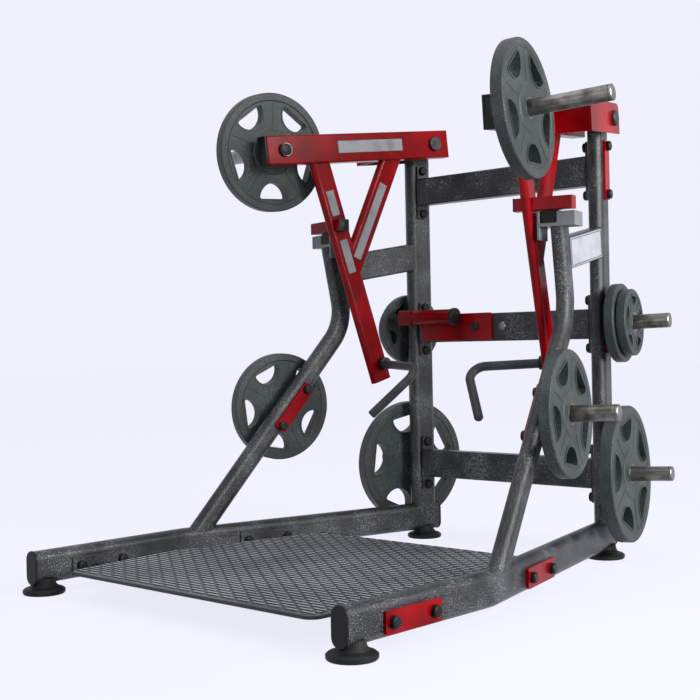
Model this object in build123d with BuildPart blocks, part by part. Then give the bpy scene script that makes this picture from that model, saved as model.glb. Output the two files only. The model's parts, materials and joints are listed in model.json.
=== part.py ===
from build123d import *
import math
import os

# Plate-loaded standing lever machine: an open floor frame with a tread platform, two rear
# uprights, two bent braces that carry the arm stops, and two weight-loaded lever arms with
# hooked handles.  The right half (+X) is modelled and mirrored about the YZ plane.
# Millimetres and degrees.  +X is the right side, -Y the front, +Z up, the floor is Z = 0.

# ---------------------------------------------------------------- driving dimensions
SPLAY = 13.8                # plan angle by which the rear half closes in towards the back

TUBE_H = 100.0              # main flat-oval tube, long side
TUBE_W = 50.0               # main flat-oval tube, short side
TUBE_WALL = 3.0
BRACE_H = 70.0              # bent brace tube, long side
BRACE_W = 48.0              # bent brace tube, short side
TIE_W = 48.0                # side tie between upright and brace
STRUT_H = 80.0              # arm strut tube, long side
STRUT_W = 30.0              # arm strut tube, short side
BOX_H = 100.0               # rectangular beams, height
BOX_W = 50.0                # rectangular beams, width
BOX_WALL = 4.0

FOOT_H = 30.0               # floor to underside of the rails
FOOT_R = 63.0
FOOT_SETBACK = 38.0         # front end of the rail to the middle of the front foot
FOOT_Y = 4.0                # rear foot behind the upright axis
RAIL_BEND = 1000.0          # upright axis to the bend of the rail, along the rail
RAIL_FRONT = 1543.0         # upright axis to the front end of the rail, along Y
RAIL_TAIL = 58.0            # rail length behind the upright axis
RAIL_BEND_R = 150.0
CAP_T = 6.0                 # end cap thickness
CAP_LIP = 1.5               # end cap overhang round the tube

UPRIGHT_X = 390.4           # upright axis, half the distance between the uprights at the floor
PIVOT_Z = 1461.0            # lever arm pivot height
UPRIGHT_TOP = PIVOT_Z - 25.0

BEAM_Z = {"lower": 282.0, "middle": 781.0, "upper": 1291.0}
FLANGE_T = 10.0             # flange plates at the ends of the cross beams
FLANGE_H = 195.0
FLANGE_W = 46.0
CLAMP_T = 8.0               # red clamp plates and storage flanges
BOLT_SPACING = 160.0
BOLT_R = 6.0
BOLT_HOLE_R = 6.5
BOLT_CAP_R = 16.0
BOLT_CAP_T = 14.0

TREAD_Z = 80.0              # top of the platform
TREAD_T = 10.0
TREAD_FRONT = 1506.0        # upright axis to the front edge of the platform, along Y
TREAD_REAR = 524.0
TREAD_HALF_FRONT = 500.0
TREAD_HALF_MID = 540.0
TREAD_MID = 1096.0
TREAD_HALF_REAR = 425.0
TREAD_CORNER_R = 35.0
SUPPORT_H = 26.0            # height of the platform's cross members
SUPPORT_W = 50.0
SUPPORT_FRONT = 1316.0      # upright axis to the front cross member, along Y
SUPPORT_REAR = 690.0        # upright axis to the rear cross member, along the rail
LUG_L = 210.0
LUG_H = 58.0
LUG_Z = 70.0
RAIL_BOLT_SPACING = 154.0

BRACE_FOOT_D = -965.0       # where the brace axis would meet the middle of the rail
BRACE_KNEE = (-341.0, 805.0)
BRACE_TOP = (-396.0, 1100.0)
BRACE_KNEE_R = 170.0
BRACE_CUT_Z = 1076.0
TIE_SLOPE = 9.4
TIE_Z = 1056.0              # tie axis height at the upright
PANEL_D = -209.0            # middle of the blank side panel
PANEL_L = 308.0
PANEL_H = 90.0
PANEL_T = 2.0

HORN_R = 24.0               # free stretch that takes 50 mm plates
HORN_ROOT_R = HORN_R - 0.5  # stretch that the machine's own plates hang on
HORN_TIP = 232.0            # storage horn tip, from the side plane
HORN_TIP_T = 8.0
HORN_GROOVE = 3.0
HORN_TILT = 2.0
COLLAR_R = 36.0

ARM_TILT = 5.9              # the arms rest with their front ends low
ARM_N = -87.0               # middle of the arm beam, from the side plane
ARM_FRONT = 712.0
ARM_REAR = 65.0
ARM_END_R = 12.0
CHEEK_N = 57.0              # outer face of the outer cheek
CHEEK_T = 8.0
CHEEK_FRONT = 238.0
PIVOT_R = 20.0
PIVOT_HOLE_GAP = 0.1
BUSH_GAP = 0.05             # running clearance between pivot shaft and bush
BUSH_T = 4.0
HOUSING_R = PIVOT_R + 10.0
HOUSING_BORE_R = PIVOT_R + 4.0
HOUSING_N = (-54.0, 41.0)
BUSH_L = 30.0
PIVOT_CAP_R = 22.0
PIVOT_CAP_T = 12.0

STRUT_TOP = (-488.0, 1366.0)
STRUT_FOOT = (-243.0, 598.0)
REAR_STRUT_TOP = (-186.0, 1392.0)
REAR_STRUT_JOIN = (-367.0, 985.0)
STOP_BAR = 40.0             # square stop bar across the front strut
STOP_BAR_D = -418.0
STOP_BAR_N = (-128.0, 56.0)
STOP_GAP = 0.3              # rest gap between the stop bar and the pad
PAD_H = 40.0
SEAT_T = 10.0
SEAT_D = (-430.0, -355.0)
SEAT_N = (-59.0, 62.0)

HANDLE_R = 15.0
HANDLE_BEND_R = 45.0
HANDLE_START = (-245.0, 658.0)
HANDLE_BEND = (-368.0, -272.0, 646.0)
HANDLE_END = (-271.0, -411.0, 490.0)
HANDLE_COLLAR_R = 21.0
HANDLE_COLLAR_T = 22.0

ARM_HORN_D = 642.0          # pivot to arm horn, along the arm
ARM_HORN_TILT = 4.0
ARM_HORN_TIP = 252.0
ARM_COLLAR_R = 40.0
HORN_BOLT_R = 10.0

# weight plates: outer radius, thickness
PLATE_LARGE = (225.0, 44.0)
PLATE_ARM = (204.0, 39.0)
PLATE_BRACE = (188.0, 37.0)
PLATE_MEDIUM = (130.0, 33.0)
PLATE_SMALL = (110.0, 33.0)
PLATE_BORE_R = HORN_R + 1.4
PLATE_GAP = 1.0             # a plate rests this far from its collar or neighbour
LOWER_COLLAR = 20.0
BRACE_COLLAR = 21.0
UPPER_COLLAR = 15.0
ARM_COLLAR = 27.0
GRIP_HOLES = 5
RIM_R = 5.0                 # rounding of a plate's rim
PLATE_WEB = 0.86            # web thickness as a share of the plate's
BRACE_HORN = (-571.0, 513.0)

PEG_R = 27.5
PEG_X = (-400.0, -165.0)
PEG_Z = 822.0
PEG_GAP = 14.0
PEG_BRACKET_L = 315.0
PEG_CAP_R = 31.0
PEG_CAP_T = 14.0

# ---------------------------------------------------------------- derived places
C = math.cos(math.radians(SPLAY))
S = math.sin(math.radians(SPLAY))
RAIL_Z = FOOT_H + TUBE_H / 2
FRONT_REACH = RAIL_FRONT - FOOT_SETBACK + FOOT_R
LOWER_STACK = TUBE_W / 2 + CLAMP_T + LOWER_COLLAR + PLATE_GAP + PLATE_LARGE[1]
REAR_REACH = (PLATE_LARGE[0] - RIM_R) * C + (LOWER_STACK - RIM_R) * S + RIM_R
UPRIGHT_Y = (FRONT_REACH - REAR_REACH) / 2      # puts the origin under the middle of the machine

HALF_W = TUBE_W / 2
ARM_IN = ARM_N - BOX_W / 2
ARM_OUT = ARM_N + BOX_W / 2


def at(n, d, z):
    """Point of the right side: n outward from the side plane, d rearward from the upright axis."""
    return Vector(UPRIGHT_X + n * C - d * S, UPRIGHT_Y + n * S + d * C, z)


OUT = Vector(C, S, 0)
REAR = Vector(-S, C, 0)


def side(n=0.0, d=0.0, z=0.0, tilt=0.0):
    """Plane parallel to the side plane, local x rearward (raised by tilt), local z outward."""
    t = math.radians(tilt)
    return Plane(origin=at(n, d, z), x_dir=REAR * math.cos(t) + Vector(0, 0, math.sin(t)), z_dir=OUT)


def horn_plane(n, d, z, tilt, arm_tilt=0.0):
    """Plane square to a horn that leaves the side plane outward and rises by tilt."""
    t, a = math.radians(tilt), math.radians(arm_tilt)
    up = REAR * -math.sin(a) + Vector(0, 0, math.cos(a))
    rear = REAR * math.cos(a) + Vector(0, 0, math.sin(a))
    return Plane(origin=at(n, d, z), x_dir=rear, z_dir=OUT * math.cos(t) + up * math.sin(t))


def arm_point(u, v=0.0):
    """(d, z) of a point u rearward and v upward from the pivot along the resting arm."""
    t = math.radians(ARM_TILT)
    return (u * math.cos(t) - v * math.sin(t), PIVOT_Z + u * math.sin(t) + v * math.cos(t))


# ---------------------------------------------------------------- export
os.makedirs("parts", exist_ok=True)


def save(name, solid):
    solid.label = name
    export_step(solid, f"parts/{name}.step")


def save_pair(name, right):
    """Writes the right piece and its mirror image as two nodes."""
    with BuildPart() as left:
        mirror(right, about=Plane.YZ)
    save(f"{name}_right", right)
    save(f"{name}_left", left.part)


def save_group(name, pieces, single=()):
    """Writes like pieces of both sides as one node of separate solids, plus any single ones."""
    with BuildPart() as group:
        for piece in pieces:
            add(piece)
            mirror(piece, about=Plane.YZ)
        for piece in single:
            add(piece)
    save(name, group.part)


# ---------------------------------------------------------------- tube helpers
def oval_tube(path_points, bend_r, start_plane, long_side, short_side, wall=TUBE_WALL):
    """Flat-oval tube swept along a polyline with round bends.  Wall 0 gives a solid envelope."""
    with BuildPart() as tube:
        with BuildLine():
            FilletPolyline(*path_points, radius=bend_r)
        with BuildSketch(start_plane):
            SlotOverall(long_side, short_side)
            if wall:
                SlotOverall(long_side - 2 * wall, short_side - 2 * wall, mode=Mode.SUBTRACT)
        sweep()
    return tube.part


def bolt(n0, n1, d, z, plane_of=side):
    """Through bolt with a domed cap over each end."""
    with BuildPart() as piece:
        with BuildSketch(plane_of(n0, d, z)):
            Circle(BOLT_R)
        extrude(amount=n1 - n0)
        for n, way in ((n0, -1), (n1, 1)):
            with BuildSketch(plane_of(n, d, z)):
                Circle(BOLT_CAP_R)
            extrude(amount=way * BOLT_CAP_T)
        caps = piece.edges().filter_by(GeomType.CIRCLE).group_by(lambda e: e.radius)[-1]
        outer = caps.sort_by(Axis(at(0, d, z), OUT))
        fillet([outer[0], outer[-1]], radius=5)
    return piece.part


def plate_disc(plane, radius, thickness, first_hole=-94):
    """Weight plate: thick rim, thinner web, raised hub and D-shaped hand holes."""
    web = thickness * PLATE_WEB
    rim = radius * 0.88
    hub = radius * 0.36 if radius > 150 else radius * 0.42
    hole_at = radius * 0.78
    hole_r = radius * (0.27 if radius > 150 else 0.22)
    low = (thickness - web) / 2
    high = (thickness + web) / 2
    with BuildSketch() as hole:
        with Locations((hole_at, 0)):
            Circle(hole_r)
            Rectangle(hole_r + 1, 2 * hole_r + 2, align=(Align.MIN, Align.CENTER), mode=Mode.SUBTRACT)
        fillet(hole.vertices(), radius=hole_r * 0.16)
    with BuildPart() as disc:
        with BuildSketch(Plane(origin=plane.origin, x_dir=plane.x_dir, z_dir=plane.y_dir * -1)):
            with BuildLine():
                Polyline(
                    (PLATE_BORE_R, 0), (hub, 0), (hub + 4, low), (rim - 4, low), (rim, 0), (radius, 0),
                    (radius, thickness), (rim, thickness), (rim - 4, high), (hub + 4, high),
                    (hub, thickness), (PLATE_BORE_R, thickness), close=True,
                )
            make_face()
        revolve(axis=Axis(plane.origin, plane.z_dir))
        with BuildSketch(plane):
            with PolarLocations(0, GRIP_HOLES, start_angle=first_hole):
                add(hole.sketch)
        extrude(amount=thickness, mode=Mode.SUBTRACT)
        outer = disc.edges().filter_by(GeomType.CIRCLE).group_by(lambda e: e.radius)[-1]
        fillet(outer, radius=RIM_R)
    return disc.part


def horn(face_plane, plane, collar_r, collar, root, tip, bolt_through=0.0):
    """Weight horn welded to a face: collar, slim root under a stored plate, full-size free
    stretch and grooved tip.  bolt_through gives it a bolt back through a beam of that width."""
    with BuildPart() as piece:
        with BuildSketch(plane):
            Circle(collar_r)
        extrude(amount=collar)
        with BuildSketch(plane):
            Circle(collar_r)
        extrude(amount=-5)
        with BuildSketch(plane):
            Circle(HORN_ROOT_R)
        extrude(amount=root)
        with BuildSketch(plane.offset(root)):
            Circle(HORN_R)
        extrude(amount=tip - root - HORN_TIP_T - HORN_GROOVE)
        with BuildSketch(plane.offset(tip - HORN_TIP_T - HORN_GROOVE)):
            Circle(HORN_ROOT_R - 2)
        extrude(amount=HORN_GROOVE)
        with BuildSketch(plane.offset(tip - HORN_TIP_T)):
            Circle(HORN_R)
        extrude(amount=HORN_TIP_T)
        chamfer(piece.faces().sort_by(Axis(plane.origin, plane.z_dir))[-1].edges(), length=2)
        split(bisect_by=face_plane, keep=Keep.TOP)
        if bolt_through:
            with BuildSketch(face_plane.offset(-bolt_through)):
                Circle(HORN_BOLT_R)
            extrude(amount=bolt_through)
            with BuildSketch(face_plane.offset(-bolt_through)):
                Circle(PIVOT_CAP_R)
            extrude(amount=-PIVOT_CAP_T)
    return piece.part


# ---------------------------------------------------------------- floor rails
bend = at(0, -RAIL_BEND, RAIL_Z)
rail_start = Vector(bend.X, UPRIGHT_Y - RAIL_FRONT, RAIL_Z)
rail_end = at(0, RAIL_TAIL, RAIL_Z)
rail_section = Plane(origin=rail_start, x_dir=(0, 0, 1), z_dir=(0, 1, 0))
rail = oval_tube((rail_start, bend, rail_end), RAIL_BEND_R, rail_section, TUBE_H, TUBE_W)
rail_envelope = oval_tube((rail_start, bend, rail_end), RAIL_BEND_R, rail_section, TUBE_H, TUBE_W, wall=0)

with BuildPart() as rail_part:
    add(rail)
    for shift in (-RAIL_BOLT_SPACING / 2, RAIL_BOLT_SPACING / 2):
        with Locations(side(0, -SUPPORT_REAR + shift, LUG_Z).location):
            Cylinder(BOLT_HOLE_R, TUBE_W + 4, mode=Mode.SUBTRACT)
        front_hole = (bend.X, UPRIGHT_Y - SUPPORT_FRONT + shift, LUG_Z)
        with Locations(Plane(origin=front_hole, z_dir=(1, 0, 0)).location):
            Cylinder(BOLT_HOLE_R, TUBE_W + 4, mode=Mode.SUBTRACT)
save_pair("rail", rail_part.part)


def rail_cap(plane):
    """Moulded oval cap that closes a rail end."""
    with BuildPart() as cap:
        with BuildSketch(plane):
            SlotOverall(TUBE_H + 2 * CAP_LIP, TUBE_W + 2 * CAP_LIP)
        extrude(amount=CAP_T)
        fillet(cap.faces().sort_by(Axis(plane.origin, plane.z_dir))[-1].edges(), radius=3)
        with BuildSketch(plane):
            SlotOverall(TUBE_H - 2 * TUBE_WALL - 1, TUBE_W - 2 * TUBE_WALL - 1)
        extrude(amount=-18)
    return cap.part


rail_caps = [
    rail_cap(Plane(origin=rail_start, x_dir=(0, 0, 1), z_dir=(0, -1, 0))),
    rail_cap(Plane(origin=rail_end, x_dir=(0, 0, 1), z_dir=REAR)),
]


def rubber_foot(x, y):
    """Round rubber foot whose cupped top holds the underside of the rail."""
    with BuildPart() as foot:
        with BuildSketch(Plane.XZ.offset(-y)):
            with BuildLine():
                Polyline(
                    (x, 0), (x + FOOT_R - 3, 0), (x + FOOT_R, 4), (x + FOOT_R, 12), (x + FOOT_R - 6, 17),
                    (x + 42, 22), (x + 36, 30), (x + 33, 46), (x, 46), close=True,
                )
            make_face()
        revolve(axis=Axis((x, y, 0), (0, 0, 1)))
        add(rail_envelope, mode=Mode.SUBTRACT)
    return foot.part


save_group(
    "rubber_feet",
    [rubber_foot(rail_start.X, rail_start.Y + FOOT_SETBACK), rubber_foot(UPRIGHT_X, UPRIGHT_Y + FOOT_Y)],
)

# ---------------------------------------------------------------- uprights
with BuildPart() as upright:
    with BuildSketch(Plane(origin=at(0, 0, RAIL_Z), x_dir=REAR, z_dir=(0, 0, 1))):
        SlotOverall(TUBE_H, TUBE_W)
        SlotOverall(TUBE_H - 2 * TUBE_WALL, TUBE_W - 2 * TUBE_WALL, mode=Mode.SUBTRACT)
    extrude(amount=UPRIGHT_TOP - RAIL_Z)
    with BuildSketch(Plane(origin=at(0, 0, UPRIGHT_TOP - 12), x_dir=REAR, z_dir=(0, 0, 1))):
        SlotOverall(TUBE_H, TUBE_W)
    extrude(amount=12)
    add(rail_envelope, mode=Mode.SUBTRACT)
    with Locations(side(0, 0, PIVOT_Z).location):
        Cylinder(HOUSING_R, TUBE_H, mode=Mode.SUBTRACT)
    for z in BEAM_Z.values():
        for dz in (-BOLT_SPACING / 2, BOLT_SPACING / 2):
            with Locations(side(0, 0, z + dz).location):
                Cylinder(BOLT_HOLE_R, TUBE_W + 4, mode=Mode.SUBTRACT)
save_pair("upright", upright.part.solids().sort_by(SortBy.VOLUME)[-1])

with BuildPart() as upright_envelope:
    with BuildSketch(Plane(origin=at(0, 0, RAIL_Z), x_dir=REAR, z_dir=(0, 0, 1))):
        SlotOverall(TUBE_H, TUBE_W)
    extrude(amount=UPRIGHT_TOP - RAIL_Z)

# ---------------------------------------------------------------- cross beams
BEAM_Y = at(-HALF_W - FLANGE_T, 0, 0).Y


def cross_beam(z):
    """Rectangular beam between the uprights, its ends cut to the flanges it is welded to."""
    with BuildPart() as beam:
        with BuildSketch(Plane(origin=(0, BEAM_Y, z), x_dir=(0, 1, 0), z_dir=(1, 0, 0))):
            RectangleRounded(BOX_W, BOX_H, 7)
            RectangleRounded(BOX_W - 2 * BOX_WALL, BOX_H - 2 * BOX_WALL, 3, mode=Mode.SUBTRACT)
        extrude(amount=UPRIGHT_X, both=True)
        right_end = side(-HALF_W - FLANGE_T, 0, z)
        left_end = Plane(origin=(-right_end.origin.X, BEAM_Y, z), z_dir=(-C, S, 0))
        split(bisect_by=right_end, keep=Keep.BOTTOM)
        split(bisect_by=left_end, keep=Keep.BOTTOM)
    return beam.part


for level, height in BEAM_Z.items():
    save(f"cross_beam_{level}", cross_beam(height))


def flat_plate(plane, width, height, thickness, holes_x=0.0, holes_y=0.0):
    """Flat bar with two bolt holes spaced along its local x or its local y."""
    count = (2, 1) if holes_x else (1, 2)
    with BuildPart() as plate:
        with BuildSketch(plane):
            RectangleRounded(width, height, 6)
            with GridLocations(holes_x, holes_y, *count):
                Circle(BOLT_HOLE_R, mode=Mode.SUBTRACT)
        extrude(amount=thickness)
    return plate.part


FRONT_LUG = Vector(bend.X, UPRIGHT_Y - SUPPORT_FRONT, LUG_Z)
RIGHT = Vector(1, 0, 0)
BRACE_LEAN = math.degrees(math.atan2(BRACE_KNEE[1] - RAIL_Z, BRACE_KNEE[0] - BRACE_FOOT_D))


def front_lug(x):
    """Plane beside the straight stretch of the rail, x outward from its middle."""
    return Plane(origin=FRONT_LUG + RIGHT * x, x_dir=(0, 1, 0), z_dir=RIGHT)


def upright_plate(n, z):
    """Plane of a plate that stands along the upright."""
    return Plane(origin=at(n, 0, z), x_dir=REAR, z_dir=OUT)


def brace_plate(n):
    """Plane of a plate whose local y runs up the lower leg of the brace."""
    t = math.radians(BRACE_LEAN)
    return Plane(
        origin=at(n, *BRACE_HORN),
        x_dir=REAR * math.sin(t) - Vector(0, 0, math.cos(t)),
        z_dir=OUT,
    )


HALF_B = BRACE_W / 2
INNER = HALF_W + CLAMP_T
REAR_Y = at(-INNER, -SUPPORT_REAR, 0).Y


def rail_plate(plane):
    """Plate bolted along a rail."""
    return flat_plate(plane, LUG_L, LUG_H, CLAMP_T, holes_x=RAIL_BOLT_SPACING)


def clamp_plate(plane):
    """Plate bolted along an upright or a brace."""
    return flat_plate(plane, FLANGE_W, FLANGE_H, CLAMP_T, holes_y=BOLT_SPACING)


save_group(
    "clamp_plates",
    [
        rail_plate(front_lug(HALF_W)),
        rail_plate(side(HALF_W, -SUPPORT_REAR, LUG_Z)),
        clamp_plate(side(HALF_W, 0, BEAM_Z["upper"])),
        clamp_plate(brace_plate(-HALF_B - CLAMP_T)),
    ],
)
save_group(
    "storage_flanges",
    [
        clamp_plate(side(HALF_W, 0, BEAM_Z["middle"])),
        clamp_plate(side(HALF_W, 0, BEAM_Z["lower"])),
        clamp_plate(brace_plate(HALF_B)),
    ],
)

# ---------------------------------------------------------------- platform and its cross members
with BuildPart() as tread:
    with BuildSketch(Plane(origin=(0, 0, TREAD_Z - TREAD_T), z_dir=(0, 0, 1))) as outline:
        with BuildLine():
            Polyline(
                (-TREAD_HALF_FRONT, UPRIGHT_Y - TREAD_FRONT),
                (TREAD_HALF_FRONT, UPRIGHT_Y - TREAD_FRONT),
                (TREAD_HALF_MID, UPRIGHT_Y - TREAD_MID),
                (TREAD_HALF_REAR, UPRIGHT_Y - TREAD_REAR),
                (-TREAD_HALF_REAR, UPRIGHT_Y - TREAD_REAR),
                (-TREAD_HALF_MID, UPRIGHT_Y - TREAD_MID),
                close=True,
            )
        make_face()
        fillet(outline.vertices(), radius=TREAD_CORNER_R)
    extrude(amount=TREAD_T)
    chamfer(tread.faces().sort_by(Axis.Z)[-1].edges(), length=1.5)
save("platform_tread", tread.part)


def right_half(y, face):
    """Right half of a cross member, from the middle of the machine to the lug it is welded to."""
    z = TREAD_Z - TREAD_T - SUPPORT_H / 2
    with BuildPart() as member:
        with BuildSketch(Plane(origin=(0, y, z), x_dir=(0, 1, 0), z_dir=(1, 0, 0))):
            RectangleRounded(SUPPORT_W, SUPPORT_H, 4)
            RectangleRounded(SUPPORT_W - 5, SUPPORT_H - 5, 2, mode=Mode.SUBTRACT)
        extrude(amount=bend.X)
        split(bisect_by=face, keep=Keep.BOTTOM)
    return member.part


rear_lug = side(-INNER, -SUPPORT_REAR, LUG_Z)
save_group(
    "platform_supports",
    [right_half(FRONT_LUG.Y, front_lug(-INNER)), right_half(REAR_Y, rear_lug)],
)
beam_flanges = [
    flat_plate(side(-HALF_W - FLANGE_T, 0, z), FLANGE_W, FLANGE_H, FLANGE_T, holes_y=BOLT_SPACING)
    for z in BEAM_Z.values()
]
save_group("frame_flanges", beam_flanges + [rail_plate(front_lug(-INNER)), rail_plate(rear_lug)])


# ---------------------------------------------------------------- bolts
def front_bolt_plane(x, y, z):
    """Plane square to a bolt through the straight stretch of the rail."""
    return Plane(origin=(bend.X + x, y, z), x_dir=(0, 1, 0), z_dir=RIGHT)


half_pitch = RAIL_BOLT_SPACING / 2
save_group(
    "rail_bolts",
    [bolt(-INNER, INNER, FRONT_LUG.Y + y, LUG_Z, front_bolt_plane) for y in (-half_pitch, half_pitch)]
    + [bolt(-INNER, INNER, -SUPPORT_REAR + d, LUG_Z) for d in (-half_pitch, half_pitch)],
)


def brace_bolt_plane(n, along, z):
    """Plane square to a bolt through the lower leg of the brace."""
    place = brace_plate(n)
    return Plane(origin=place.origin + place.y_dir * along, x_dir=place.x_dir, z_dir=OUT)


def peg_bolt_plane(n, x, z):
    """Plane square to the bolt that holds the peg bracket to the middle beam."""
    return Plane(origin=(x, BEAM_Y - BOX_W / 2 - n, z), x_dir=(1, 0, 0), z_dir=(0, -1, 0))


half_bolt = BOLT_SPACING / 2
frame_bolt_list = []
for z in BEAM_Z.values():
    for dz in (-half_bolt, half_bolt):
        frame_bolt_list.append(bolt(-HALF_W - FLANGE_T, INNER, 0, z + dz))
for along in (-half_bolt, half_bolt):
    frame_bolt_list.append(bolt(-HALF_B - CLAMP_T, HALF_B + CLAMP_T, along, 0, brace_bolt_plane))
save_group("frame_bolts", frame_bolt_list)

# ---------------------------------------------------------------- braces and side ties
brace_points = [at(0, BRACE_FOOT_D, RAIL_Z), at(0, *BRACE_KNEE), at(0, *BRACE_TOP)]
brace_dir = (brace_points[1] - brace_points[0]).normalized()
brace_side = OUT.cross(brace_dir)
brace_section = Plane(origin=brace_points[0], x_dir=brace_side, z_dir=brace_dir)
brace_envelope = oval_tube(brace_points, BRACE_KNEE_R, brace_section, BRACE_H, BRACE_W, wall=0)
with BuildPart() as brace:
    add(oval_tube(brace_points, BRACE_KNEE_R, brace_section, BRACE_H, BRACE_W))
    add(rail_envelope, mode=Mode.SUBTRACT)
    split(bisect_by=Plane(origin=at(0, 0, BRACE_CUT_Z), z_dir=(0, 0, 1)), keep=Keep.BOTTOM)
    for along in (-half_bolt, half_bolt):
        with Locations(brace_bolt_plane(0, along, 0).location):
            Cylinder(BOLT_HOLE_R, TUBE_W + 4, mode=Mode.SUBTRACT)
save_pair("brace", brace.part.solids().sort_by(SortBy.VOLUME)[-1])

tie_rise = math.tan(math.radians(TIE_SLOPE))
tie_start = Plane(
    origin=at(0, -500, TIE_Z - 500 * tie_rise),
    x_dir=OUT,
    z_dir=REAR + Vector(0, 0, tie_rise),
)
with BuildPart() as tie:
    with BuildSketch(tie_start):
        RectangleRounded(TIE_W, BOX_H, 7)
        RectangleRounded(TIE_W - 2 * BOX_WALL, BOX_H - 2 * BOX_WALL, 3, mode=Mode.SUBTRACT)
    extrude(amount=520)
    add(brace_envelope, mode=Mode.SUBTRACT)
    add(upright_envelope.part, mode=Mode.SUBTRACT)
save_pair("side_tie", tie.part.solids().sort_by(SortBy.VOLUME)[-1])

with BuildPart() as panel:
    with BuildSketch(side(TIE_W / 2, PANEL_D, TIE_Z + PANEL_D * tie_rise, TIE_SLOPE)):
        RectangleRounded(PANEL_L, PANEL_H, 3)
    extrude(amount=PANEL_T)
save_group("side_panels", [panel.part])

# ---------------------------------------------------------------- pivots on the uprights
with BuildPart() as housing:
    with BuildSketch(side(HOUSING_N[0], 0, PIVOT_Z)):
        Circle(HOUSING_R)
        Circle(HOUSING_BORE_R, mode=Mode.SUBTRACT)
    extrude(amount=HOUSING_N[1] - HOUSING_N[0])
save_pair("bearing_housing", housing.part)


def bush(n, way):
    """Flanged plain bush in one end of the bearing housing."""
    with BuildPart() as piece:
        with BuildSketch(side(n, 0, PIVOT_Z)):
            Circle(HOUSING_BORE_R)
            Circle(PIVOT_R + BUSH_GAP, mode=Mode.SUBTRACT)
        extrude(amount=-way * BUSH_L)
        with BuildSketch(side(n, 0, PIVOT_Z)):
            Circle(HOUSING_R - 1)
            Circle(PIVOT_R + BUSH_GAP, mode=Mode.SUBTRACT)
        extrude(amount=way * BUSH_T)
    return piece.part


save_group("pivot_bushes", [bush(HOUSING_N[0], -1), bush(HOUSING_N[1], 1)])

# ---------------------------------------------------------------- arm stops on the braces
seat_mid = sum(SEAT_D) / 2
seat_len = SEAT_D[1] - SEAT_D[0]


def seat_block(n0, n1, z0, z1, depth):
    """Upright block of the stop bracket between two n and two z."""
    with BuildPart() as block:
        with BuildSketch(Plane(origin=at((n0 + n1) / 2, seat_mid, z0), x_dir=OUT, z_dir=(0, 0, 1))):
            RectangleRounded(n1 - n0, depth, 2)
        extrude(amount=z1 - z0)
    return block.part


seat_top = BRACE_CUT_Z + SEAT_T
with BuildPart() as stop_bracket:
    add(seat_block(SEAT_N[0], SEAT_N[1], BRACE_CUT_Z, seat_top, seat_len))
    add(seat_block(SEAT_N[0], SEAT_N[0] + 8, BRACE_CUT_Z - 40, seat_top + PAD_H - 2, seat_len))
    add(seat_block(4, SEAT_N[1], BRACE_CUT_Z, seat_top + PAD_H - 6, seat_len))
save_group("stop_brackets", [stop_bracket.part])
save_group("stop_pads", [seat_block(-46, 3, seat_top, seat_top + PAD_H, seat_len - 8)])

# ---------------------------------------------------------------- storage horns and their plates


def stored(name, n, d, z, collar, plates):
    """Storage horn with the plates that rest on it, written for both sides."""
    flange = side(n, d, z)
    plane = horn_plane(n, d, z, HORN_TILT)
    offset = collar
    for plate_name, (radius, thickness), first in plates:
        offset += PLATE_GAP
        save_pair(plate_name, plate_disc(plane.offset(offset), radius, thickness, first))
        offset += thickness
    piece = horn(flange, plane, COLLAR_R, collar, offset, HORN_TIP - n)
    save_pair(name, piece)


stored("lower_horn", INNER, 0, BEAM_Z["lower"], LOWER_COLLAR, [("lower_plate", PLATE_LARGE, -114)])
stored(
    "upper_horn", INNER, 0, BEAM_Z["middle"], UPPER_COLLAR,
    [("upper_plate_inner", PLATE_MEDIUM, -90), ("upper_plate_outer", PLATE_SMALL, -60)],
)
stored("brace_horn", HALF_B + CLAMP_T, *BRACE_HORN, BRACE_COLLAR, [("brace_plate", PLATE_BRACE, -100)])

# ---------------------------------------------------------------- peg on the middle beam, left side
beam_front = BEAM_Y - BOX_W / 2
with BuildPart() as peg_bracket:
    with BuildSketch(Plane(origin=(0, beam_front, 0), x_dir=(1, 0, 0), z_dir=(0, -1, 0))):
        with Locations((-30 - PEG_BRACKET_L / 2, BEAM_Z["middle"] + 4)):
            RectangleRounded(PEG_BRACKET_L, BOX_H - 4, 5)
        with Locations((-98, BEAM_Z["middle"] + 4)):
            Circle(BOLT_HOLE_R, mode=Mode.SUBTRACT)
    extrude(amount=FLANGE_T)
save("peg_bracket", peg_bracket.part)

peg_y = beam_front - FLANGE_T - PEG_GAP - PEG_R
peg_len = PEG_X[1] - PEG_X[0]
with BuildPart() as peg:
    with BuildSketch(Plane(origin=(PEG_X[0] + 55, peg_y, PEG_Z), x_dir=(0, 1, 0), z_dir=(1, 0, 0))):
        Circle(PEG_R)
    extrude(amount=peg_len - 55)
    with BuildSketch(Plane(origin=(PEG_X[0], peg_y, PEG_Z), x_dir=(0, 1, 0), z_dir=(1, 0, 0))):
        RectangleRounded(2 * PEG_R - 2, 2 * PEG_R, 6)
    extrude(amount=56)
    tab = (-265, beam_front - FLANGE_T, BEAM_Z["middle"] + 30)
    with BuildSketch(Plane(origin=tab, x_dir=(1, 0, 0), z_dir=(0, -1, 0))):
        RectangleRounded(120, 36, 3)
    extrude(amount=PEG_GAP + PEG_R)
save("peg_bar", peg.part)
with BuildPart() as peg_cap:
    with BuildSketch(Plane(origin=(PEG_X[1], peg_y, PEG_Z), x_dir=(0, 1, 0), z_dir=(1, 0, 0))):
        Circle(PEG_CAP_R)
    extrude(amount=PEG_CAP_T)
    fillet(peg_cap.faces().sort_by(Axis.X)[-1].edges(), radius=3)
save_group("end_caps", rail_caps, single=[peg_cap.part])

# ---------------------------------------------------------------- lever arms


def arm_face(n, u=0.0, v=0.0):
    """Plane parallel to the side plane, local x rearward along the resting arm."""
    return side(n, *arm_point(u, v), ARM_TILT)


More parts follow.
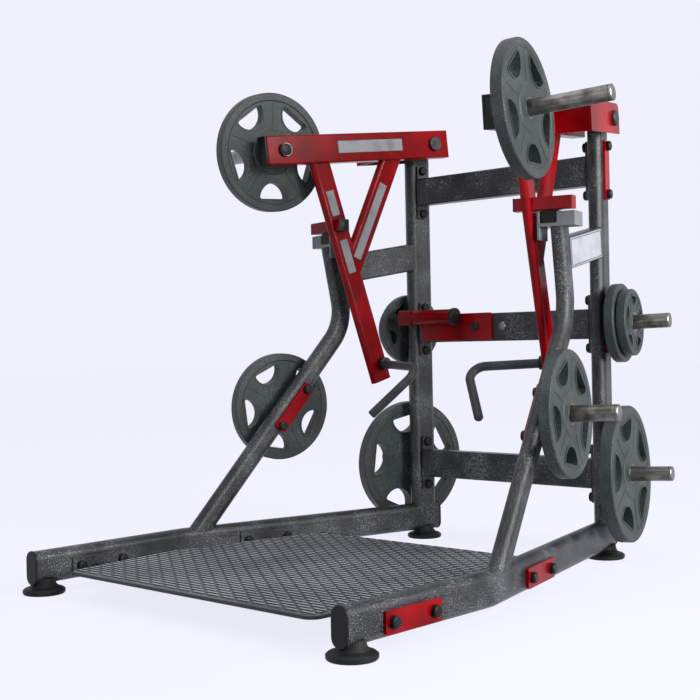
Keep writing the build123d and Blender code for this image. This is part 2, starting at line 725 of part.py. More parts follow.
def box_along_arm(n0, n1, u0, u1, v0, v1, corner=0.0):
    """Block along the arm, its rear corners rounded in side view."""
    with BuildPart() as block:
        with BuildSketch(arm_face(n0, (u0 + u1) / 2, (v0 + v1) / 2)) as outline:
            Rectangle(u1 - u0, v1 - v0)
            if corner:
                fillet(outline.vertices().sort_by(Axis((0, 0, 0), REAR))[-2:], radius=corner)
        extrude(amount=n1 - n0)
    return block.part


half_box = BOX_H / 2
arm_solid = box_along_arm(ARM_IN, ARM_OUT, -ARM_FRONT, ARM_REAR, -half_box, half_box, ARM_END_R)
half_hole = half_box - BOX_WALL
arm_hole = box_along_arm(
    ARM_IN + BOX_WALL, ARM_OUT - BOX_WALL, -ARM_FRONT - 1, ARM_REAR - 8, -half_hole, half_hole
)
with BuildPart() as arm_beam:
    add(arm_solid)
    faces = arm_beam.faces().sort_by(Axis((0, 0, 0), OUT))
    front_end = arm_face(ARM_N, -ARM_FRONT).origin
    side_edges = faces[0].edges() + faces[-1].edges()
    fillet([e for e in side_edges if abs((e.center() - front_end).dot(REAR)) > 30], radius=6)
    add(arm_hole, mode=Mode.SUBTRACT)
    with Locations(arm_face(ARM_N).location):
        Cylinder(PIVOT_R + PIVOT_HOLE_GAP, BOX_W + 2, mode=Mode.SUBTRACT)
    with Locations(arm_face(ARM_N, -ARM_HORN_D).location):
        Cylinder(HORN_BOLT_R + PIVOT_HOLE_GAP, BOX_W + 2, mode=Mode.SUBTRACT)
save_pair("arm_beam", arm_beam.part)

with BuildPart() as pivot_box:
    add(box_along_arm(CHEEK_N - CHEEK_T, CHEEK_N, -CHEEK_FRONT, ARM_REAR - 3, -half_box, half_box, 24))
    add(box_along_arm(ARM_OUT, CHEEK_N, -CHEEK_FRONT, -CHEEK_FRONT + CHEEK_T, -half_box, half_box))
    add(box_along_arm(ARM_OUT, CHEEK_N, -CHEEK_FRONT, ARM_REAR - 30, half_box - CHEEK_T, half_box))
    with Locations(arm_face(CHEEK_N).location):
        Cylinder(PIVOT_R + PIVOT_HOLE_GAP, 4 * CHEEK_T, mode=Mode.SUBTRACT)
save_pair("pivot_box", pivot_box.part)

with BuildPart() as shaft:
    with BuildSketch(side(ARM_IN, 0, PIVOT_Z)):
        Circle(PIVOT_R)
    extrude(amount=CHEEK_N - ARM_IN)
    with BuildSketch(side(ARM_IN, 0, PIVOT_Z)):
        Circle(PIVOT_CAP_R + 4)
    extrude(amount=-PIVOT_CAP_T)
    with BuildSketch(side(CHEEK_N, 0, PIVOT_Z)):
        Circle(PIVOT_CAP_R + 4)
    extrude(amount=PIVOT_CAP_T)
    ends = shaft.faces().sort_by(Axis(at(0, 0, PIVOT_Z), OUT))
    fillet(ends[0].edges() + ends[-1].edges(), radius=4)
save_pair("pivot_shaft", shaft.part)

arm_root = ARM_COLLAR + PLATE_GAP + PLATE_ARM[1]
arm_horn_at = arm_point(-ARM_HORN_D)
arm_horn_plane = horn_plane(ARM_OUT, *arm_horn_at, ARM_HORN_TILT, ARM_TILT)
arm_horn_tip = ARM_HORN_TIP - ARM_OUT
arm_horn_face = side(ARM_OUT, *arm_horn_at)
arm_horn = horn(arm_horn_face, arm_horn_plane, ARM_COLLAR_R, ARM_COLLAR, arm_root, arm_horn_tip, BOX_W)
save_pair("arm_horn", arm_horn)
save_pair("arm_plate", plate_disc(arm_horn_plane.offset(ARM_COLLAR + PLATE_GAP), *PLATE_ARM, -94))

# ---------------------------------------------------------------- arm struts and stop bar


def strut(top, foot, wall=TUBE_WALL):
    """Flat-oval tube from foot to top, 30 mm past the top point; wall 0 gives the envelope."""
    direction = (at(0, *top) - at(0, *foot)).normalized()
    plane = Plane(origin=at(ARM_N, *foot), x_dir=OUT.cross(direction), z_dir=direction)
    with BuildPart() as tube:
        with BuildSketch(plane):
            SlotOverall(STRUT_H, STRUT_W)
        extrude(amount=(at(0, *top) - at(0, *foot)).length + 30)
        if wall:
            with BuildSketch(plane.offset(5)):
                SlotOverall(STRUT_H - 2 * wall, STRUT_W - 2 * wall)
            extrude(amount=2000, mode=Mode.SUBTRACT)
    return tube.part


stop_z = seat_top + PAD_H + STOP_GAP + STOP_BAR / 2
stop_plane = Plane(origin=at(STOP_BAR_N[0], STOP_BAR_D, stop_z), x_dir=REAR, z_dir=OUT)
with BuildPart() as stop_bar:
    with BuildSketch(stop_plane):
        RectangleRounded(STOP_BAR, STOP_BAR, 3)
        RectangleRounded(STOP_BAR - 8, STOP_BAR - 8, 1, mode=Mode.SUBTRACT)
    extrude(amount=STOP_BAR_N[1] - STOP_BAR_N[0])
    with BuildSketch(stop_plane):
        RectangleRounded(STOP_BAR, STOP_BAR, 3)
    extrude(amount=5)
    with BuildSketch(stop_plane.offset(STOP_BAR_N[1] - STOP_BAR_N[0] - 5)):
        RectangleRounded(STOP_BAR, STOP_BAR, 3)
    extrude(amount=5)
save_pair("stop_bar", stop_bar.part)

with BuildPart() as front_strut:
    add(strut(STRUT_TOP, STRUT_FOOT))
    add(arm_solid, mode=Mode.SUBTRACT)
    with BuildSketch(stop_plane):
        RectangleRounded(STOP_BAR, STOP_BAR, 3)
    extrude(amount=STOP_BAR_N[1] - STOP_BAR_N[0], mode=Mode.SUBTRACT)
save_pair("front_strut", front_strut.part.solids().sort_by(SortBy.VOLUME)[-1])

with BuildPart() as rear_strut:
    add(strut(REAR_STRUT_TOP, REAR_STRUT_JOIN))
    add(arm_solid, mode=Mode.SUBTRACT)
    add(strut(STRUT_TOP, STRUT_FOOT, wall=0), mode=Mode.SUBTRACT)
save_pair("rear_strut", rear_strut.part.solids().sort_by(SortBy.VOLUME)[-1])

# ---------------------------------------------------------------- handles
strut_face = ARM_N - STRUT_W / 2
grip = [at(strut_face + 20, *HANDLE_START), at(*HANDLE_BEND), at(*HANDLE_END)]
with BuildPart() as handle:
    with BuildLine():
        FilletPolyline(*grip, radius=HANDLE_BEND_R)
    with BuildSketch(Plane(origin=grip[0], z_dir=(grip[1] - grip[0]))):
        Circle(HANDLE_R)
    sweep()
    with BuildSketch(Plane(origin=grip[2], z_dir=(grip[2] - grip[1]))):
        Circle(HANDLE_R)
    extrude(amount=5, taper=30)
    split(bisect_by=side(strut_face, *HANDLE_START), keep=Keep.BOTTOM)
    with BuildSketch(side(strut_face, *HANDLE_START)):
        Circle(HANDLE_COLLAR_R)
    extrude(amount=-HANDLE_COLLAR_T)
save_pair("arm_handle", handle.part)
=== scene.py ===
"""Plate-loaded standing lever machine: finishes, small fitted pieces, floor, light and camera."""

import sys

import json
import logging
import math
from collections.abc import Callable
from dataclasses import dataclass, field
from enum import Enum

import bpy
from mathutils import Matrix, Vector


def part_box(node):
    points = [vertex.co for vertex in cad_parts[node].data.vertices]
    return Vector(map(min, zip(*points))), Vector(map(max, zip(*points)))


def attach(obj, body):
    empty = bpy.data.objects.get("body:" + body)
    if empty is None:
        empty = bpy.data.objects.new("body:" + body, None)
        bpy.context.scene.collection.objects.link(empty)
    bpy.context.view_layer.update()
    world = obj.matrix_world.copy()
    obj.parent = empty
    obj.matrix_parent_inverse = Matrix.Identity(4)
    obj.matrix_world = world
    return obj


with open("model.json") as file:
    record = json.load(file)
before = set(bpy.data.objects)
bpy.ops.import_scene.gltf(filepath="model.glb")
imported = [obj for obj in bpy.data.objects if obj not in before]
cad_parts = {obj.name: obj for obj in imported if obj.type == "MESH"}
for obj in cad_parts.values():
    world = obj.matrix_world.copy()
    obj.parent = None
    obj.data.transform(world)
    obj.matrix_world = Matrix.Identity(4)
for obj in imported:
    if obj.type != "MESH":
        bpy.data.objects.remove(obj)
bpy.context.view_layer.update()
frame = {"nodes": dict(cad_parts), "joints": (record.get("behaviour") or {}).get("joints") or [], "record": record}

log = logging.getLogger("lever_machine")

SPLAY = math.radians(13.8)
OUT = Vector((math.cos(SPLAY), math.sin(SPLAY), 0.0))
REAR = Vector((-math.sin(SPLAY), math.cos(SPLAY), 0.0))
UP = Vector((0.0, 0.0, 1.0))
MOUNTS = {m["name"]: m for m in frame["record"]["mounts"]}
JOINTS = {j["name"]: j for j in frame["joints"]}

Triple = tuple[float, float, float]


class Side(Enum):
    """The two halves of the machine; the left is the mirror image of the right."""

    RIGHT = "right"
    LEFT = "left"

    def mirror(self) -> Matrix:
        """Matrix that carries a right-hand piece to this side."""
        return Matrix.Identity(4) if self is Side.RIGHT else Matrix.Diagonal((-1.0, 1.0, 1.0, 1.0))


# ------------------------------------------------------------------ shader maths


class Value:
    """A number on its way through a material, with ordinary arithmetic."""

    def __init__(self, graph: "Graph", socket: bpy.types.NodeSocket) -> None:
        """Keeps the socket that carries the number.

        Args:
            graph: The material the number belongs to.
            socket: The output socket that carries it.
        """
        self.graph = graph
        self.socket = socket

    def math(self, operation: str, other: "Value | float | None" = None, swap: bool = False) -> "Value":
        """Adds one Math node.

        Args:
            operation: The node's operation name.
            other: The second number, if the operation takes one.
            swap: Whether the second number comes first.

        Returns:
            The result.
        """
        pair = (other, self) if swap else (self, other)
        return Value(self.graph, self.graph.node("Math", *pair, settings={"operation": operation}).outputs[0])

    def __add__(self, other: "Value | float") -> "Value":
        """Sum."""
        return self.math("ADD", other)

    def __radd__(self, other: float) -> "Value":
        """Sum with the number on the left."""
        return self.math("ADD", other)

    def __sub__(self, other: "Value | float") -> "Value":
        """Difference."""
        return self.math("SUBTRACT", other)

    def __rsub__(self, other: float) -> "Value":
        """Difference from a number on the left."""
        return self.math("SUBTRACT", other, swap=True)

    def __mul__(self, other: "Value | float") -> "Value":
        """Product."""
        return self.math("MULTIPLY", other)

    def __rmul__(self, other: float) -> "Value":
        """Product with the number on the left."""
        return self.math("MULTIPLY", other)

    def __truediv__(self, other: "Value | float") -> "Value":
        """Quotient."""
        return self.math("DIVIDE", other)

    def __rtruediv__(self, other: float) -> "Value":
        """Number on the left divided by this one."""
        return self.math("DIVIDE", other, swap=True)

    def __pow__(self, other: "Value | float") -> "Value":
        """Power."""
        return self.math("POWER", other)

    def __rpow__(self, other: float) -> "Value":
        """Number on the left raised to this one."""
        return self.math("POWER", other, swap=True)

    def fade(self, low: float, high: float) -> "Value":
        """Smooth step from 0 at low to 1 at high.

        Args:
            low: Where the result starts to rise.
            high: Where it reaches 1.

        Returns:
            The step.
        """
        node = self.graph.node(
            "MapRange", settings={"interpolation_type": "SMOOTHSTEP"}, Value=self, From_Min=low, From_Max=high
        )
        return Value(self.graph, node.outputs[0])


Link = Value | bpy.types.NodeSocket | float | tuple | None
Color = bpy.types.NodeSocket | Triple


class Graph:
    """One procedural material on Object coordinates."""

    COLOR_SOCKETS = 6  # the Mix node's first colour socket

    def __init__(self, name: str) -> None:
        """Makes an empty material with a Principled shader.

        Args:
            name: The material's name.
        """
        self.material = bpy.data.materials.new(name)
        self.material.use_nodes = True
        self.tree = self.material.node_tree
        self.shader = self.tree.nodes["Principled BSDF"]
        self.place = self.node("TexCoord").outputs["Object"]

    def node(
        self, kind: str, *values: Link, settings: dict[str, object] | None = None, **inputs: Link
    ) -> bpy.types.Node:
        """Adds one node.

        Args:
            kind: The node's type, without its ShaderNode prefix.
            *values: What its first sockets get, in order; None leaves a socket as it is.
            settings: The node's own properties, set before its sockets.
            **inputs: What sockets get by name, with underscores for spaces.

        Returns:
            The node.
        """
        made = self.tree.nodes.new("ShaderNode" + kind)
        for key, setting in (settings or {}).items():
            setattr(made, key, setting)
        sockets = list(enumerate(values)) + [(key.replace("_", " "), value) for key, value in inputs.items()]
        for key, value in sockets:
            if isinstance(value, Value):
                self.tree.links.new(value.socket, made.inputs[key])
            elif isinstance(value, bpy.types.NodeSocket):
                self.tree.links.new(value, made.inputs[key])
            elif value is not None:
                made.inputs[key].default_value = value
        return made

    def stretched(self, scale: Triple) -> bpy.types.NodeSocket:
        """Object coordinates scaled by axis."""
        return self.node("Mapping", Vector=self.place, Scale=scale).outputs[0]

    def noise(self, scale: float, detail: float = 2.0, at: bpy.types.NodeSocket | None = None) -> Value:
        """Cloudy noise.

        Args:
            scale: Cells per metre.
            detail: Octaves.
            at: Coordinates, if not the plain Object ones.

        Returns:
            The noise, 0 to 1.
        """
        made = self.node("TexNoise", Vector=at or self.place, Scale=scale, Detail=detail)
        return Value(self, made.outputs["Fac"])

    def cells(self, scale: float, feature: str = "F1") -> Value:
        """Distance pattern of round cells.

        Args:
            scale: Cells per metre.
            feature: The Voronoi feature.

        Returns:
            The distance.
        """
        made = self.node("TexVoronoi", settings={"feature": feature}, Vector=self.place, Scale=scale)
        return Value(self, made.outputs["Distance"])

    def facing(self, index: int) -> Value:
        """One component of the surface normal."""
        normal = self.node("NewGeometry").outputs["Normal"]
        return Value(self, self.node("SeparateXYZ", Vector=normal).outputs[index])

    def blend(self, amount: Value, low: Color, high: Color) -> bpy.types.NodeSocket:
        """Mixes two colours.

        Args:
            amount: 0 for low, 1 for high.
            low: First colour or link.
            high: Second colour or link.

        Returns:
            The mixed colour.
        """
        pair = [(*value, 1.0) if isinstance(value, tuple) else value for value in (low, high)]
        unused = [None] * (self.COLOR_SOCKETS - 1)
        made = self.node("Mix", amount, *unused, *pair, settings={"data_type": "RGBA"})
        return made.outputs[2]

    def finish(
        self,
        color: bpy.types.NodeSocket,
        roughness: Value,
        height: Value,
        depth: float,
        **fixed: float | tuple,
    ) -> bpy.types.Material:
        """Wires the shader.

        Args:
            color: Base colour link.
            roughness: Roughness.
            height: Bump height, 0 to 1.
            depth: Bump distance in metres.
            **fixed: Values set on the shader's own sockets.

        Returns:
            The material.
        """
        self.tree.links.new(color, self.shader.inputs["Base Color"])
        self.tree.links.new(roughness.socket, self.shader.inputs["Roughness"])
        bump = self.node("Bump", Height=height, Distance=depth, Strength=1.0)
        self.tree.links.new(bump.outputs[0], self.shader.inputs["Normal"])
        for key, value in fixed.items():
            self.shader.inputs[key.replace("_", " ")].default_value = value
        return self.material


# ------------------------------------------------------------------ finishes


@dataclass(frozen=True)
class HammerPaint:
    """Hammertone paint: small dimples with pale veins between them."""

    name: str
    base: Triple
    vein: Triple
    dimples: float = 330.0
    roughness: float = 0.33
    depth: float = 0.0005
    metallic: float = 0.0
    specular: float = 0.25

    def make(self) -> bpy.types.Material:
        """Builds the material."""
        g = Graph(self.name)
        cell = g.cells(self.dimples)
        broad = g.noise(9.0, 3.0)
        fine = g.noise(900.0, 1.0)
        vein = (cell.fade(0.45, 0.95) * (broad.fade(0.3, 0.75) + 0.3)).fade(0.04, 1.0)
        color = g.blend(vein, self.base, self.vein)
        # broad cloudy patches lifted toward the vein colour: a painted sheen, laid at random rather than by the
        # light
        color = g.blend(broad.fade(0.5, 0.8) * 0.05, color, self.vein)
        rough = self.roughness + cell * 0.12 + (broad - 0.5) * 0.18
        height = cell.fade(0.0, 0.9) * 0.8 + fine * 0.2
        shine = {"Metallic": self.metallic, "Specular_IOR_Level": self.specular}
        return g.finish(color, rough, height, self.depth, **shine)


@dataclass(frozen=True)
class GlossPaint:
    """Glossy powder coat with faint orange peel, dust and fine scuffs."""

    name: str
    base: Triple
    deep: Triple
    roughness: float = 0.16
    coat: float = 0.12
    coat_roughness: float = 0.1
    specular: float = 0.08
    peel_depth: float = 0.00012

    def make(self) -> bpy.types.Material:
        """Builds the material."""
        g = Graph(self.name)
        broad = g.noise(7.0, 3.0)
        peel = g.noise(420.0, 2.0)
        scuff = g.noise(60.0, 6.0, g.stretched((1.0, 1.0, 0.25))).fade(0.66, 0.74)
        color = g.blend(broad.fade(0.3, 0.75), self.deep, self.base)
        rough = self.roughness + peel * 0.06 + scuff * 0.18
        coat = {"Coat_Weight": self.coat, "Coat_Roughness": self.coat_roughness}
        return g.finish(color, rough, peel, self.peel_depth, Specular_IOR_Level=self.specular, **coat)


@dataclass(frozen=True)
class Steel:
    """Turned or plated steel with fine circular marks and brownish staining."""

    name: str
    base: Triple
    stain: Triple
    roughness: float = 0.24
    mark_depth: float = 0.00006

    def make(self) -> bpy.types.Material:
        """Builds the material."""
        g = Graph(self.name)
        turned = g.noise(40.0, 3.0, g.stretched((60.0, 1.0, 1.0)))
        patch = g.noise(22.0, 4.0)
        color = g.blend(patch.fade(0.42, 0.66), self.base, self.stain)
        rough = self.roughness + turned * 0.12 + patch * 0.1
        return g.finish(color, rough, turned, self.mark_depth, Metallic=1.0)


@dataclass(frozen=True)
class Moulded:
    """Moulded plastic, rubber or matt paint: fine grain, slight wear."""

    name: str
    base: Triple
    worn: Triple
    roughness: float = 0.5
    grain: float = 700.0
    depth: float = 0.00015
    specular: float = 0.18

    def make(self) -> bpy.types.Material:
        """Builds the material."""
        g = Graph(self.name)
        grain = g.noise(self.grain, 2.0)
        broad = g.noise(14.0, 4.0)
        color = g.blend(broad.fade(0.45, 0.8), self.base, self.worn)
        rough = self.roughness + (grain - 0.5) * 0.15 + (broad - 0.5) * 0.15
        return g.finish(color, rough, grain, self.depth, Specular_IOR_Level=self.specular)


@dataclass(frozen=True)
class TreadPlate:
    """Painted tread sheet: grey and scuffed on top; faces that don't face up get a painted shade, near black."""

    name: str
    top: Triple = (0.030, 0.034, 0.036)
    scuffed: Triple = (0.085, 0.093, 0.095)
    # painted shade for the sides and the rolled edge, darker than the top only by which way the face points
    side_shade: Triple = (0.008, 0.009, 0.010)
    raised: float = 0.0
    metallic: float = 0.2
    speck_depth: float = 0.0004

    def make(self) -> bpy.types.Material:
        """Builds the material."""
        g = Graph(self.name)
        broad = g.noise(5.0, 4.0)
        speck = g.noise(240.0, 3.0)
        scuff = (broad * 0.7 + speck * 0.5 + self.raised).fade(0.5, 0.85)
        top = g.blend(scuff, self.top, self.scuffed)
        # painted shade: faces that don't face up take the near-black side colour, the top keeps its grey
        color = g.blend(g.facing(2).fade(0.5, 0.9), self.side_shade, top)
        rough = 0.36 + broad * 0.15 + speck * 0.08
        return g.finish(color, rough, speck, self.speck_depth, Metallic=self.metallic)


@dataclass(frozen=True)
class Finishes:
    """Every finish of the machine, made once."""

    materials: dict[str, bpy.types.Material] = field(default_factory=dict)

    def build(self) -> "Finishes":
        """Makes all materials.

        Returns:
            This object, filled.
        """
        recipes = [
            HammerPaint(
                "frame_black", (0.0035, 0.0035, 0.004), (0.15, 0.156, 0.159), 400.0, 0.27, specular=0.36
            ),
            HammerPaint(
                "plate_iron", (0.017, 0.0225, 0.0215), (0.085, 0.101, 0.097), 420.0, 0.42, 0.0004, 0.2, 0.3
            ),
            GlossPaint("red_paint", (0.20, 0.0008, 0.003), (0.095, 0.0004, 0.0012), 0.2, 0.05),
            Steel("horn_steel", (0.20, 0.195, 0.18), (0.08, 0.075, 0.06)),
            Steel("dark_steel", (0.05, 0.05, 0.052), (0.03, 0.028, 0.026), 0.35),
            Steel("bronze", (0.45, 0.28, 0.12), (0.30, 0.18, 0.08), 0.3),
            Moulded("handle_grey", (0.022, 0.025, 0.026), (0.042, 0.046, 0.047), 0.42, 500.0),
            Moulded("black_plastic", (0.004, 0.004, 0.0045), (0.010, 0.010, 0.011), 0.38),
            Moulded("black_rubber", (0.004, 0.004, 0.004), (0.012, 0.012, 0.012), 0.55, 500.0, 0.0003),
            GlossPaint("light_steel", (0.12, 0.128, 0.128), (0.075, 0.082, 0.083), 0.32),
            Moulded("panel_grey", (0.26, 0.268, 0.28), (0.20, 0.208, 0.22), 0.35, 300.0, 0.00005),
            Moulded("label_grey", (0.17, 0.173, 0.177), (0.10, 0.103, 0.107), 0.4, 300.0, 0.00005),
            TreadPlate("tread_grey"),
            # the third colour is the painted shade on the sides of the bars
            TreadPlate("tread_dash", (0.13, 0.142, 0.146), (0.33, 0.345, 0.35), (0.012, 0.013, 0.014), 0.1),
        ]
        for recipe in recipes:
            self.materials[recipe.name] = recipe.make()
        return self

    def dress(self, obj: bpy.types.Object, name: str) -> None:
        """Gives an object one finish."""
        obj.data.materials.clear()
        obj.data.materials.append(self.materials[name])


# ------------------------------------------------------------------ mesh work


class Bench:
    """Modelling moves shared by all pieces, each an operator used as by hand."""

    SEAT = 0.0002  # how deep a raised detail reaches into the face below it

    @staticmethod
    def clear() -> None:
        """Leaves nothing selected."""
        if bpy.context.object and bpy.context.object.mode != "OBJECT":
            bpy.ops.object.mode_set(mode="OBJECT")
        bpy.ops.object.select_all(action="DESELECT")

    @classmethod
    def pick(cls, *objs: bpy.types.Object) -> None:
        """Selects objects, the last one active."""
        cls.clear()
        for obj in objs:
            obj.select_set(True)
            bpy.context.view_layer.objects.active = obj

    @classmethod
    def block(cls, name: str, size: Triple, center: Triple = (0, 0, 0)) -> bpy.types.Object:
        """Adds a box.

        Args:
            name: The new object's name.
            size: Its three sizes.
            center: Its middle.

        Returns:
            The box, with its scale applied.
        """
        cls.clear()
        bpy.ops.mesh.primitive_cube_add(size=1.0, location=center)
        obj = bpy.context.object
        obj.name = name
        obj.scale = size
        bpy.ops.object.transform_apply(location=True, rotation=True, scale=True)
        return obj

    @classmethod
    def disc(cls, name: str, radius: float, z: float = 0.0, sides: int = 48) -> bpy.types.Object:
        """Adds a filled circle square to local Z.

        Args:
            name: The new object's name.
            radius: Its radius.
            z: Its height.
            sides: Its corners.

        Returns:
            The disc.
        """
        cls.clear()
        bpy.ops.mesh.primitive_circle_add(
            vertices=sides, radius=radius, fill_type="NGON", location=(0, 0, z)
        )
        bpy.context.object.name = name
        bpy.ops.object.transform_apply(location=True, rotation=False, scale=False)
        return bpy.context.object

    @classmethod
    def thicken(cls, obj: bpy.types.Object, height: float) -> None:
        """Turns a flat shape into a closed solid of the given height along local Z."""
        cls.pick(obj)
        bpy.ops.object.mode_set(mode="EDIT")
        bpy.ops.mesh.select_mode(type="FACE")
        bpy.ops.mesh.select_all(action="SELECT")
        cls.raise_faces(height)
        bpy.ops.mesh.select_all(action="SELECT")
        bpy.ops.mesh.normals_make_consistent(inside=False)
        bpy.ops.object.mode_set(mode="OBJECT")

    @classmethod
    def hollow(cls, obj: bpy.types.Object, width: float) -> None:
        """Cuts the middle out of a flat shape and leaves a band of the given width."""
        cls.pick(obj)
        bpy.ops.object.mode_set(mode="EDIT")
        bpy.ops.mesh.select_mode(type="FACE")
        bpy.ops.mesh.select_all(action="SELECT")
        bpy.ops.mesh.inset(thickness=width)
        bpy.ops.mesh.delete(type="FACE")
        bpy.ops.object.mode_set(mode="OBJECT")

    @classmethod
    def sink(cls, width: float, step: Vector) -> None:
        """Insets the selected face and extrudes the new inner face by a step."""
        bpy.ops.mesh.inset(thickness=width)
        bpy.ops.mesh.extrude_region_move(TRANSFORM_OT_translate={"value": tuple(step)})

    @classmethod
    def ring(
        cls, name: str, radius: float, width: float, height: float, z: float, sides: int = 72
    ) -> bpy.types.Object:
        """Flat ring standing on a face square to local Z.

        Args:
            name: The new object's name.
            radius: Its outer radius.
            width: Its width.
            height: Its height above the face.
            z: Where the face is.
            sides: Segments round the ring.

        Returns:
            The ring, its edges softened.
        """
        made = cls.disc(name, radius, z - cls.SEAT, sides)
        cls.hollow(made, width)
        cls.thicken(made, height + cls.SEAT)
        cls.soften(made, min(width, height) * 0.35, 1)
        return made

    @classmethod
    def plug(cls, name: str, radius: float, height: float) -> bpy.types.Object:
        """Round cap with a domed top, standing on local Z = 0.

        Args:
            name: The new object's name.
            radius: Its radius.
            height: Its height.

        Returns:
            The cap.
        """
        made = cls.disc(name, radius, 0.0, 36)
        cls.select(made, "FACE", lambda c, n: True)
        cls.raise_faces(height * 0.55)
        bpy.ops.mesh.inset(thickness=radius * 0.12)
        bpy.ops.transform.translate(value=(0, 0, height * 0.3))
        bpy.ops.mesh.inset(thickness=radius * 0.4)
        bpy.ops.transform.translate(value=(0, 0, height * 0.15))
        bpy.ops.mesh.select_all(action="SELECT")
        bpy.ops.mesh.normals_make_consistent(inside=False)
        bpy.ops.object.mode_set(mode="OBJECT")
        cls.soften(made, 0.0008, 2)
        return made

    @classmethod
    def select(cls, obj: bpy.types.Object, kind: str, test: Callable[[Vector, Vector], bool]) -> None:
        """Enters edit mode with the faces or vertices that pass a test selected.

        Args:
            obj: The mesh object.
            kind: "FACE" or "VERT".
            test: Gets an element's middle and its normal.
        """
        cls.pick(obj)
        bpy.ops.object.mode_set(mode="EDIT")
        bpy.ops.mesh.select_mode(type=kind)
        bpy.ops.mesh.select_all(action="DESELECT")
        bpy.ops.object.mode_set(mode="OBJECT")
        for v in obj.data.vertices:
            v.select = False
        for e in obj.data.edges:
            e.select = False
        for f in obj.data.polygons:
            f.select = kind == "FACE" and test(f.center.copy(), f.normal.copy())
        if kind == "VERT":
            for v in obj.data.vertices:
                v.select = test(v.co.copy(), v.normal.copy())
        bpy.ops.object.mode_set(mode="EDIT")

    @staticmethod
    def raise_faces(height: float) -> None:
        """Extrudes the selected faces along local Z."""
        bpy.ops.mesh.extrude_region_move(TRANSFORM_OT_translate={"value": (0.0, 0.0, height)})

    @classmethod
    def modifier(cls, obj: bpy.types.Object, kind: str, **settings: object) -> None:
        """Adds a modifier and applies it.

        Args:
            obj: The mesh object.
            kind: The modifier's type.
            **settings: Its properties.
        """
        cls.pick(obj)
        made = obj.modifiers.new(kind.title(), kind)
        for key, value in settings.items():
            setattr(made, key, value)
        bpy.ops.object.modifier_apply(modifier=made.name)

    @classmethod
    def soften(cls, obj: bpy.types.Object, width: float, segments: int = 2) -> None:
        """Rounds the sharp edges and shades the rest smooth."""
        sharp = {"limit_method": "ANGLE", "angle_limit": math.radians(40)}
        cls.modifier(obj, "BEVEL", width=width, segments=segments, **sharp)
        bpy.ops.object.shade_smooth_by_angle(angle=math.radians(35))

    @classmethod
    def twin(cls, obj: bpy.types.Object, name: str) -> bpy.types.Object:
        """Copies an object with its own mesh."""
        made = obj.copy()
        made.data = obj.data.copy()
        made.name = name
        bpy.context.scene.collection.objects.link(made)
        return made

    @classmethod
    def put(cls, obj: bpy.types.Object, matrix: Matrix) -> bpy.types.Object:
        """Carries the piece to its place and leaves the place in its mesh.

        Args:
            obj: The piece, still in its local frame.
            matrix: Where the local frame goes.

        Returns:
            The same object.
        """
        cls.pick(obj)
        obj.matrix_world = matrix @ obj.matrix_world
        bpy.context.view_layer.update()
        flipped = matrix.determinant() < 0
        bpy.ops.object.transform_apply(location=True, rotation=True, scale=True)
        if flipped:
            bpy.ops.object.mode_set(mode="EDIT")
            bpy.ops.mesh.select_all(action="SELECT")
            bpy.ops.mesh.normals_make_consistent(inside=False)
            bpy.ops.object.mode_set(mode="OBJECT")
        return obj

    @classmethod
    def join(cls, parts: list[bpy.types.Object], name: str) -> bpy.types.Object:
        """Joins pieces into one object."""
        cls.pick(*parts)
        bpy.ops.object.join()
        bpy.context.object.name = name
        return bpy.context.object


def side_frame(origin: Vector, side: Side, tilt: float = 0.0) -> Matrix:
    """Frame of the side plane: local X rearward (raised by tilt), Y up, Z outward.

    Args:
        origin: A point of the right side.
        side: The side the piece belongs to.
        tilt: Rise of local X, in degrees.

    Returns:
        The placing matrix, mirrored for the left side.
    """
    t = math.radians(tilt)
    along = REAR * math.cos(t) + UP * math.sin(t)
    up = OUT.cross(along)
    basis = Matrix((along, up, OUT)).transposed().to_4x4()
    return side.mirror() @ Matrix.Translation(origin) @ basis


def right_point(n: float, d: float, z: float) -> Vector:
    """Point of the right side, in metres.

    Args:
        n: Outward from the plane of the uprights.
        d: Rearward from the upright's axis.
        z: Height.

    Returns:
        The point.
    """
    pivot = Vector(JOINTS["arm_right_pivot"]["pos_m"])
    return Vector((pivot.x, pivot.y, 0.0)) + OUT * n + REAR * d + UP * z


# ------------------------------------------------------------------ sub-assemblies


